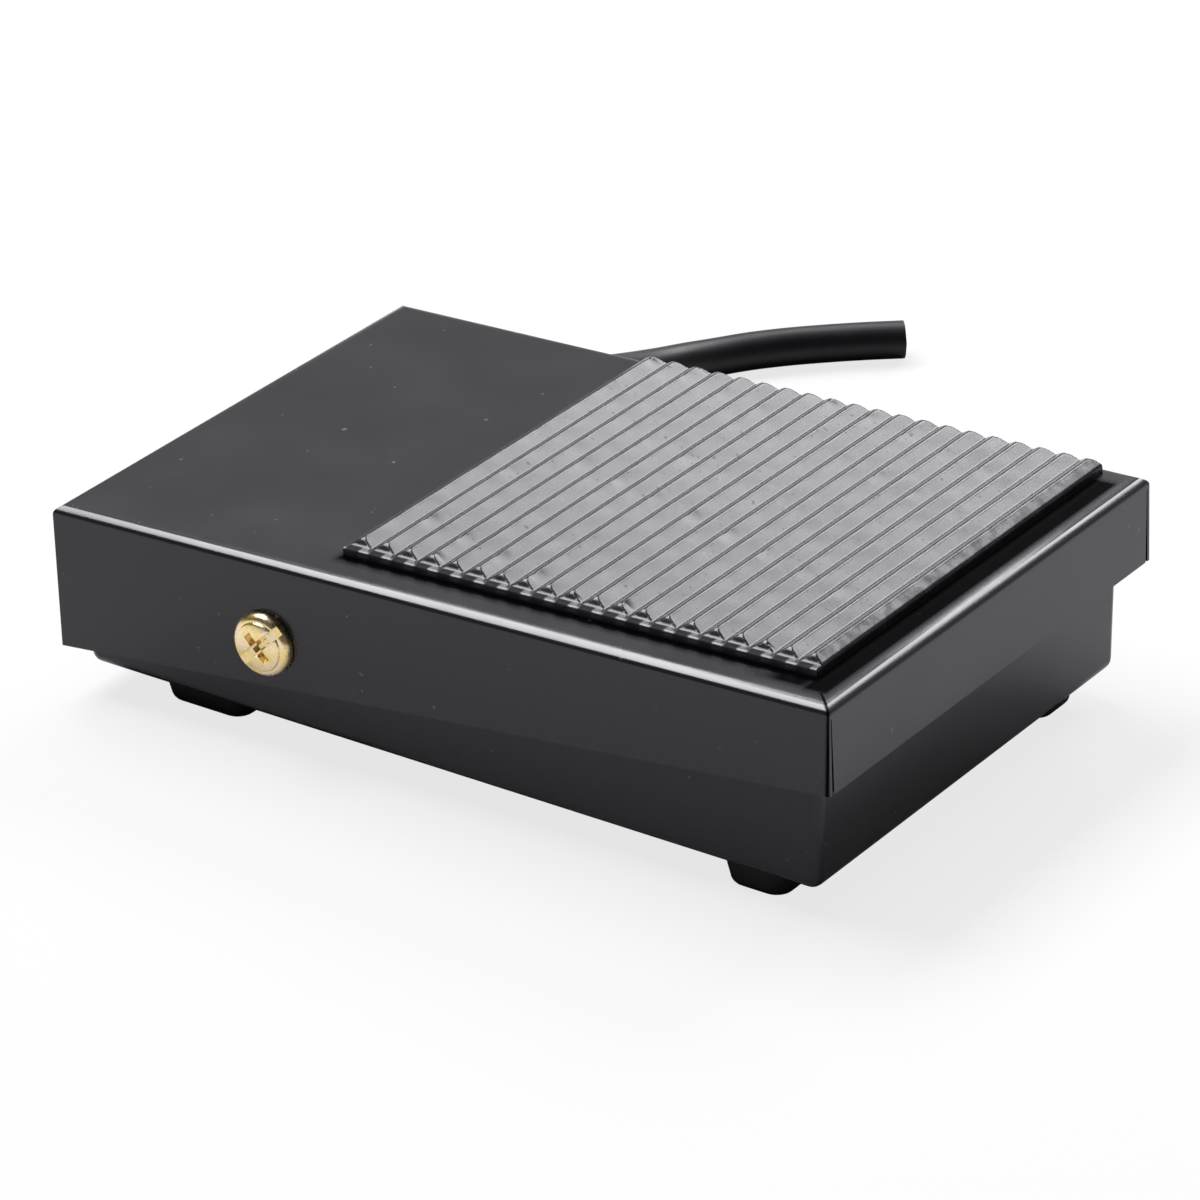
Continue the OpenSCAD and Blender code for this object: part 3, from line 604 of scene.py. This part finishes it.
# %% Tread pad
def tread_pad():
    """The pad in the cover's frame: the section extruded across, cut lower towards the sides."""
    bm = bmesh.new()
    web, count = TREAD["web"], 56
    section = tread_section()
    first, last = TREAD["near"] + NEAR_END[-1][0], TREAD["far"] - FAR_END[-1][0]
    stations = [TREAD["near"] + d for d, _ in NEAR_END]
    stations += [first + (last - first) * i / count for i in range(1, count)]
    stations += [TREAD["far"] - d for d, _ in reversed(FAR_END)]
    chain = [bm.verts.new((TREAD["x"] + x, stations[0], 0)) for x, z in section]
    edges = [bm.edges.new(pair) for pair in zip(chain, chain[1:])]
    rows = [chain]
    for y in stations[1:]:
        grown = bmesh.ops.extrude_edge_only(bm, edges=edges)["geom"]
        chain = sorted((g for g in grown if isinstance(g, bmesh.types.BMVert)), key=lambda v: v.co.x)
        edges = [g for g in grown if isinstance(g, bmesh.types.BMEdge)
                 and all(abs(v.co.y - chain[0].co.y) < 1e-6 and v in chain for v in g.verts)]
        bmesh.ops.translate(bm, verts=chain, vec=(0, y - rows[-1][0].co.y, 0))
        rows.append(chain)
    for y, row in zip(stations, rows):
        cap = end_height(y)
        for v, (x, z) in zip(row, section):
            rib = int(x / TREAD["pitch"])
            rise = z - web
            worn = rise + wear(x, y, rib) * max(rise, 0) / TREAD["height"]
            v.co.z = web + min(worn, cap)
    border = [e for e in bm.edges if e.is_boundary]
    skirt = bmesh.ops.extrude_edge_only(bm, edges=border)["geom"]
    for v in [g for g in skirt if isinstance(g, bmesh.types.BMVert)]:
        v.co.z = 0.0
    rim = [e for e in bm.edges if e.is_boundary]
    bmesh.ops.contextual_create(bm, geom=rim)
    bmesh.ops.recalc_face_normals(bm, faces=bm.faces)
    bmesh.ops.transform(bm, matrix=cover_place, verts=bm.verts)
    return mesh_object(bm, "tread_ribs")


def tread_plastic():
    """Glossy black moulding compound, scuffed by shoes in small nicks and at its toe end, where the
    dulling is partly painted shade; painted shade also dulls the near flange under each ridge's front
    half.
    """
    material, tree, shader, place = new_material("moulded_tread_plastic")
    scuffs = grain(tree, place, 2.5, detail=5, roughness=0.7)
    colour = ramp(tree, scuffs, [(0.35, "#1d1e21"), (0.75, "#2b2c30")])
    tree.links.new(colour, shader.inputs["Base Color"])
    gloss = ramp(tree, scuffs, [(0.3, 0.24), (0.8, 0.3)])
    tree.links.new(gloss, shader.inputs["Roughness"])
    shader.inputs["IOR"].default_value = 1.5
    axis = add(tree, "ShaderNodeSeparateXYZ", {"Vector": place}).outputs
    # Painted shade: on the near flange the shine is turned down under the front half of each ridge, so
    # that glints stay only under the rear halves.
    along = calculate(tree, "DIVIDE", axis["X"], TREAD["pitch"] * MM)
    first_rib = 20.42
    phase = calculate(tree, "FRACT", calculate(tree, "ADD", along, first_rib), 0.0)
    front_half = ramp(tree, phase, [(0.0, 1.0), (0.1, 1.0), (0.2, 0.0), (0.5, 0.0), (0.62, 1.0)])
    flange = band(tree, axis["Y"], TREAD["near"] - 1, TREAD["near"] + 1.0, 0.1)
    flange_shade = calculate(tree, "MULTIPLY", front_half, flange)
    nicks = ramp(tree, grain(tree, place, 0.7, detail=1), [(0.0, 0.0), (0.71, 0.0), (0.75, 0.5)])
    # The toe end's shine is turned down in noisy patches: partly wear from shoes, partly painted shade
    # for the toe bevel's darker reflection.
    toe = band(tree, axis["X"], PAD_TOE - 1.5, PAD_TOE + 2, 0.1)
    toe_wear_and_shade = ramp(tree, grain(tree, place, 1.6, detail=3), [(0.0, 0.15), (0.42, 0.15), (0.6, 0.6)])
    marks = calculate(tree, "MAXIMUM", nicks, calculate(tree, "MULTIPLY", toe, toe_wear_and_shade))
    dull = add(tree, "ShaderNodeMapRange", {"Value": calculate(tree, "MAXIMUM", flange_shade, marks),
               "To Min": 0.31, "To Max": 0.01}).outputs[0]
    tree.links.new(dull, shader.inputs["Specular IOR Level"])
    bump(tree, shader, grain(tree, place, 0.6, detail=2), 0.004, 0.15)
    return material


tread = tread_pad()
finish_piece(tread, "pedal", tread_plastic(), ["tread_pad"], angle=50)

# %% [markdown]
# ## Rubber feet
# Four tapered blocks of black rubber are glued under the tray. Rubber is matt because its skin
# is full of pores, and the lower edges are rounded where it was moulded.

# %% Feet
def rubber(name, code):
    """Matt black rubber."""
    material, tree, shader, place = new_material(name)
    pores = grain(tree, place, 0.4, detail=4)
    tree.links.new(ramp(tree, pores, [(0.3, code), (0.8, "#17181a")]), shader.inputs["Base Color"])
    shader.inputs["Specular IOR Level"].default_value = 0.3
    tree.links.new(ramp(tree, pores, [(0.3, 0.55), (0.8, 0.75)]), shader.inputs["Roughness"])
    shader.inputs["IOR"].default_value = 1.52
    bump(tree, shader, pores, 0.015, 0.5)
    return material


def foot_block(name):
    """A foot rebuilt in the place of its node, with a moulded rim."""
    low, high = [Vector(v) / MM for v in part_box(name)]
    bm = bmesh.new()
    box(bm, low, high)
    middle = (low + high) / 2
    narrow = 1 - 1.2 / (high.x - low.x)
    for v in bm.verts:
        if v.co.z < middle.z:
            v.co.x = middle.x + (v.co.x - middle.x) * narrow
            v.co.y = middle.y + (v.co.y - middle.y) * narrow
    upright = [e for e in bm.edges if abs(e.verts[0].co.z - e.verts[1].co.z) > 1]
    round_edges(bm, upright, 2.0, 6)
    under = [e for e in bm.edges if all(v.co.z < low.z + 0.001 for v in e.verts)]
    round_edges(bm, under, 0.7, 4)
    return mesh_object(bm, name + "_rubber")


foot_rubber = rubber("moulded_foot_rubber", "#08090a")
for name in ("foot_front_near", "foot_front_far", "foot_rear_near", "foot_rear_far"):
    finish_piece(foot_block(name), "base", foot_rubber, [name])

# %% [markdown]
# ## Yellow-zinc screws
# The pedal hangs on two pan-head machine screws. They are zinc plated and passivated, and the
# film shines yellow with pink and green where it is thicker or thinner. The head is spun from
# its section, and the driver slot and cross are cut with tapered blades.

# %% Screw metal
def yellow_zinc():
    """Zinc plate under a yellow chromate film."""
    material, tree, shader, place = new_material("yellow_zinc_plate")
    film = grain(tree, place, 2.6, detail=2)
    colour = ramp(tree, film, [(0.25, "#f3dfa4"), (0.45, "#f0d88c"), (0.6, "#f2dab4"), (0.8, "#dfdf98")])
    tree.links.new(colour, shader.inputs["Base Color"])
    shader.inputs["Metallic"].default_value = 1
    tree.links.new(ramp(tree, grain(tree, place, 0.5, detail=3), [(0.3, 0.2), (0.8, 0.34)]),
                   shader.inputs["Roughness"])
    bump(tree, shader, grain(tree, place, 1.2, detail=1), 0.003, 0.1)
    return material


# %% Screws
SCREW = {"shank": 4.0, "head": 7.3, "high": 1.7, "rim": 1.05, "tip": 25.1, "seat": 32.45}


def screw_blank(name):
    """Shank and pan head spun about Z, with the seat of the head at Z = 0."""
    dome = 0.4
    r, h, rim = SCREW["head"] / 2, SCREW["high"] - dome, SCREW["rim"]
    neck = SCREW["shank"] / 2
    arc = [(r - rim + rim * math.sin(a), h - rim + rim * math.cos(a))
           for a in [math.pi / 2 * i / 7 for i in range(8)]]
    deep = SCREW["seat"] - SCREW["tip"]
    outline = [(0, h + dome), (r * 0.4, h + dome * 0.8), (r * 0.68, h + dome * 0.35),
               (r * 0.74, h + 0.05), (r * 0.77, h - 0.12), (r * 0.82, h - 0.12)]
    outline += [(x, z - 0.03) for x, z in arc if x > r * 0.85]
    outline += [(r, 0), (neck, 0), (neck, 0.4 - deep),
               (neck - 0.4, -deep), (0, -deep)]
    bm = bmesh.new()
    chain = [bm.verts.new((x, 0, z)) for x, z in outline]
    edges = [bm.edges.new(pair) for pair in zip(chain, chain[1:])]
    bmesh.ops.spin(bm, geom=chain + edges, cent=(0, 0, 0), axis=(0, 0, 1), dvec=(0, 0, 0),
                   angle=2 * math.pi, steps=64, use_merge=True, use_duplicate=False)
    bmesh.ops.remove_doubles(bm, verts=bm.verts, dist=0.001)
    bmesh.ops.recalc_face_normals(bm, faces=bm.faces)
    return mesh_object(bm, name)


def cross_cutter():
    """Cross recess: four wings with round inner corners, narrower at its foot."""
    bm = bmesh.new()
    reach, wing, corner = 2.15, 0.54, 0.5
    outline = []
    for quarter in range(4):
        turned = math.pi / 2 * quarter
        corner_at = [(wing + corner - corner * math.cos(a), wing + corner - corner * math.sin(a))
                     for a in [math.pi / 2 * i / 5 for i in range(6)]]
        for x, y in [(reach, -wing), (reach, wing)] + [(y, x) for x, y in corner_at]:
            outline.append((x * math.cos(turned) - y * math.sin(turned),
                            x * math.sin(turned) + y * math.cos(turned)))
    top, foot = SCREW["high"] + 0.4, SCREW["high"] - 1.5
    upper = [bm.verts.new((x, y, top)) for x, y in outline]
    lower = [bm.verts.new((x * 0.42, y * 0.42, foot)) for x, y in outline]
    bm.faces.new(upper)
    bm.faces.new(lower)
    for i in range(len(upper)):
        j = (i + 1) % len(upper)
        bm.faces.new((upper[i], upper[j], lower[j], lower[i]))
    bmesh.ops.recalc_face_normals(bm, faces=bm.faces)
    bmesh.ops.rotate(bm, cent=(0, 0, 0), matrix=Matrix.Rotation(math.pi / 4, 3, "Z"), verts=bm.verts)
    return mesh_object(bm, "cross_cutter")


def slot_cutter():
    """Straight slot across the head."""
    bm = bmesh.new()
    slot = box(bm, (-6, -0.56, SCREW["high"] - 0.95), (6, 0.56, SCREW["high"] + 1))
    bmesh.ops.rotate(bm, cent=(0, 0, 0), matrix=Matrix.Rotation(math.pi / 4, 3, "Z"), verts=slot)
    return mesh_object(bm, "slot_cutter")


def pivot_screw(side, name, material):
    """One screw, turned to face outwards on its side of the pedal."""
    screw = screw_blank(name + "_pan_head")
    cut(screw, cross_cutter())
    cut(screw, slot_cutter())
    soften(screw, 0.07, angle=40)
    face_out = Matrix.Rotation(math.radians(90 if side < 0 else -90), 4, "X")
    seat = Vector((PIVOT.x, side * SCREW["seat"], PIVOT.z)) * MM
    screw.data.transform(Matrix.Translation(seat) @ face_out)
    finish_piece(screw, "base", material, [name], angle=32)


zinc_film = yellow_zinc()
pivot_screw(-1, "pivot_screw_near", zinc_film)
pivot_screw(1, "pivot_screw_far", zinc_film)

# %% [markdown]
# ## Jacket, grommet and cores
# The jacket is soft black vinyl: a broad dull shine along it and no pattern. The cores are harder,
# glossier vinyl over bare copper strands. The grommet is spun from its section, with a waist in
# the tray's wall and a nose through the cover's notch.

# %% Cable materials
def vinyl(name, code, roughness=0.42, shine=0.5):
    """Extruded soft vinyl."""
    material, tree, shader, place = new_material(name)
    shader.inputs["Specular IOR Level"].default_value = shine
    smear = grain(tree, place, 6, detail=3)
    shader.inputs["Base Color"].default_value = paint(code)
    tree.links.new(ramp(tree, smear, [(0.3, roughness - 0.06), (0.75, roughness + 0.1)]),
                   shader.inputs["Roughness"])
    shader.inputs["IOR"].default_value = 1.53
    bump(tree, shader, grain(tree, place, 0.6, detail=3), 0.012, 0.4)
    return material


def plain_metal(name, code, roughness):
    """Metal with fine drawing or rolling marks."""
    material, tree, shader, place = new_material(name)
    marks = grain(tree, place, 0.5, detail=4, roughness=0.65)
    shader.inputs["Base Color"].default_value = paint(code)
    shader.inputs["Metallic"].default_value = 1
    tree.links.new(ramp(tree, marks, [(0.3, roughness), (0.75, roughness + 0.14)]),
                   shader.inputs["Roughness"])
    bump(tree, shader, marks, 0.004, 0.35)
    return material


jacket = vinyl("black_vinyl_jacket", "#0c0d0f", 0.45, shine=0.22)
brown_vinyl = vinyl("brown_vinyl", "#5f3820", 0.36)
blue_vinyl = vinyl("blue_vinyl", "#27538f", 0.36)
copper = plain_metal("bare_copper", "#d08a5e", 0.25)
finish_piece(cable, "base", jacket, ["cable"])
finish_piece(core_brown_end, "base", brown_vinyl)
finish_piece(core_blue_end, "base", blue_vinyl)
finish_piece(strands_brown, "base", copper)
finish_piece(strands_blue, "base", copper)


# %% Grommet
def grommet():
    """Rubber grommet spun about its bore, then laid along Y."""
    wall_out = BASE["width"] / 2
    wall_in = wall_out - BASE["sheet"]
    nose, bore = ROUTE[0][1], CABLE["diameter"] / 2 + 0.05
    flange, neck, tip = 4.7, 3.5, 3.0
    outline = [(bore, wall_in - 1.65), (flange - 0.3, wall_in - 1.65), (flange, wall_in - 1.35),
               (flange, wall_in - 0.35), (flange - 0.3, wall_in - 0.05), (neck, wall_in - 0.05),
               (neck, wall_out + 0.05), (flange - 0.2, wall_out + 0.05), (flange, wall_out + 0.25),
               (flange, wall_out + 0.6), (flange - 0.2, wall_out + 0.8), (neck, wall_out + 0.8)]
    for i in range(3):
        y = wall_out + 0.8 + (nose - wall_out - 1.2) * (i + 1) / 3
        r = neck + (tip - neck) * (i + 1) / 3
        outline += [(r, y - 0.2), (r - 0.25, y - 0.05), (r - 0.25, y + 0.15), (r - 0.05, y + 0.25)]
    outline += [(tip - 0.4, nose), (bore, nose)]
    bm = bmesh.new()
    chain = [bm.verts.new((r, y, 0)) for r, y in outline]
    edges = [bm.edges.new(pair) for pair in zip(chain, chain[1:] + chain[:1])]
    bmesh.ops.spin(bm, geom=chain + edges, cent=(0, 0, 0), axis=(0, 1, 0), dvec=(0, 0, 0),
                   angle=2 * math.pi, steps=40, use_merge=True, use_duplicate=False)
    bmesh.ops.remove_doubles(bm, verts=bm.verts, dist=0.001)
    bmesh.ops.recalc_face_normals(bm, faces=bm.faces)
    bmesh.ops.translate(bm, verts=bm.verts, vec=(CABLE["x"], 0, CABLE["z"]))
    return mesh_object(bm, "cable_grommet_rubber")


grommet_rubber = rubber("grommet_rubber", "#101112")
grommet_piece = finish_piece(grommet(), "base", grommet_rubber, ["cable_grommet"])

# %% [markdown]
# ## The works inside
# The switch, its bracket, the clamp and the cores keep the shapes of the mechanical model. Each
# takes the material that such a part is bought in. Only the spring is rebuilt as a copy of its
# node, with a mesh of its own.

# %% Materials of the inner parts
def moulding(name, code, roughness):
    """Matt moulded plastic with a fine spark texture."""
    material, tree, shader, place = new_material(name)
    spark = grain(tree, place, 0.3, detail=3)
    shader.inputs["Base Color"].default_value = paint(code)
    tree.links.new(ramp(tree, spark, [(0.3, roughness - 0.05), (0.8, roughness + 0.1)]),
                   shader.inputs["Roughness"])
    bump(tree, shader, spark, 0.01, 0.4)
    return material


inner = [
    (plain_metal("bright_zinc_plate", "#c9ccd0", 0.28),
     ["pivot_nut_near", "pivot_nut_far", "switch_screws", "switch_nuts",
      "saddle_screws", "switch_bracket", "spring_cap", "spring_seat"]),
    (moulding("natural_nylon", "#e6e3d8", 0.45),
     ["pivot_washer_near", "pivot_washer_far", "saddle_lower", "saddle_upper"]),
    (moulding("black_phenolic", "#26282c", 0.5), ["switch_case", "switch_lid"]),
    (moulding("red_acetal", "#a8281d", 0.3), ["switch_plunger"]),
    (plain_metal("rolled_brass", "#d9b36a", 0.25),
     ["terminal_common", "terminal_closed", "terminal_open"]),
    (vinyl("grey_sleeve_vinyl", "#8d949b"), ["sleeve_common", "sleeve_open"]),
    (jacket, ["cable_tail"]),
    (brown_vinyl, ["core_brown"]),
    (blue_vinyl, ["core_blue"]),
]
for material, names in inner:
    for name in names:
        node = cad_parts[name]
        for slot in node.material_slots:
            slot.material = material
print("inner parts dressed:", sum(len(names) for _, names in inner))


# %% Return spring
def return_spring():
    """The coil, copied from its node into a mesh of its own."""
    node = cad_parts["return_spring"]
    bm = bmesh.new()
    bm.from_mesh(node.data)
    bmesh.ops.transform(bm, matrix=node.matrix_world, verts=bm.verts)
    bmesh.ops.remove_doubles(bm, verts=bm.verts, dist=0.001 * MM)
    bmesh.ops.transform(bm, matrix=TO_MM, verts=bm.verts)
    bmesh.ops.recalc_face_normals(bm, faces=bm.faces)
    coil = mesh_object(bm, "return_spring_coil")
    wire = plain_metal("drawn_spring_wire", "#a2a5aa", 0.3)
    finish_piece(coil, "base", wire, ["return_spring"])
    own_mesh(coil)


return_spring()

# %% [markdown]
# ## Floor and light
# Gloss black is lit by what it mirrors, so the set is built from what each face should see. The
# near fold looks up at a long softbox that hangs across the pedal, a little to the hinge side.
# The ridges and the front fold look at a second one, low behind the toe end. The flat top looks
# at a pale wall behind the hinge end that reaches no higher than 35 degrees. Everything else is
# a dim room. The table is white to the camera, and a middle grey to the lamps, so that the
# skirts do not wash out.

# %% Floor
def floor_material():
    """Matt table whose open parts end in plain white while its shadows stay."""
    material = bpy.data.materials.new("white_table")
    material.use_nodes = True
    tree = material.node_tree
    tree.nodes.clear()
    matt = add(tree, "ShaderNodeBsdfDiffuse", {"Color": paint("#bcbcbe")})
    glow = add(tree, "ShaderNodeEmission", {"Color": (1, 1, 1, 1), "Strength": 1.0})
    ray = add(tree, "ShaderNodeLightPath").outputs["Is Camera Ray"]
    share = add(tree, "ShaderNodeMath", {0: ray, 1: 0.78}, operation="MULTIPLY").outputs[0]
    mixed = add(tree, "ShaderNodeMixShader", {0: share, 1: matt.outputs[0], 2: glow.outputs[0]})
    add(tree, "ShaderNodeOutputMaterial", {"Surface": mixed.outputs[0]})
    return material


bm = bmesh.new()
bmesh.ops.create_grid(bm, x_segments=1, y_segments=1, size=1500)
floor = mesh_object(bm, "floor")
floor.data.transform(Matrix.Translation((0, 0, -0.00005)))
floor.data.materials.append(floor_material())


# %% Softboxes
LAMP_COLOUR = (0.975, 0.965, 1.0)


def softbox(name, way, away, size, radiance, aside=0.0):
    """Lamp facing the switch: way points to it, size is (level, upright), aside slides it level."""
    lamp = bpy.data.lights.new(name, "AREA")
    lamp.shape = "RECTANGLE"
    lamp.size, lamp.size_y = size
    lamp.energy = radiance * math.pi * size[0] * size[1]
    lamp.color = LAMP_COLOUR
    holder = bpy.data.objects.new(name, lamp)
    bpy.context.scene.collection.objects.link(holder)
    way = Vector(way).normalized()
    level = Vector((0, 0, 1)).cross(way).normalized()
    axes = Matrix((level, way.cross(level), way)).transposed().to_4x4()
    holder.matrix_world = Matrix.Translation(way * away + level * aside) @ axes
    print(f"{name}: {size[0]:.2f} by {size[1]:.2f} m, {lamp.energy:.0f} W")


softbox("overhead_softbox", (-0.50, 0, 0.86), 1.8, (1.64, 0.68), 19, aside=-0.2)
softbox("toe_softbox", (0, 0.78, 0.62), 2.0, (1.14, 0.64), 13.5, aside=0.16)


# %% Room
def room_light():
    """Dim room with a pale wall behind the hinge end; plain white to the camera."""
    world = bpy.data.worlds.new("room")
    bpy.context.scene.world = world
    world.use_nodes = True
    tree = world.node_tree
    tree.nodes.clear()
    way = add(tree, "ShaderNodeTexCoord").outputs["Generated"]
    axis = add(tree, "ShaderNodeSeparateXYZ", {"Vector": way})
    height = ramp(tree, axis.outputs["Z"], [(0.0, 1.0), (0.5, 1.0), (0.72, 0.12), (1.0, 0.1)])
    depth = add(tree, "ShaderNodeMapRange", {"Value": axis.outputs["Y"], "From Min": -0.1,
                "From Max": 0.55, "To Min": 0.12, "To Max": 0.42}).outputs[0]
    wall = add(tree, "ShaderNodeBackground", {"Color": height, "Strength": depth})
    white = add(tree, "ShaderNodeBackground", {"Color": (1, 1, 1, 1), "Strength": 1.0})
    seen = add(tree, "ShaderNodeLightPath").outputs["Is Camera Ray"]
    sky = add(tree, "ShaderNodeMixShader", {0: seen, 1: wall.outputs[0], 2: white.outputs[0]})
    add(tree, "ShaderNodeOutputWorld", {"Surface": sky.outputs[0]})


room_light()

# %% Finish
bpy.context.view_layer.update()
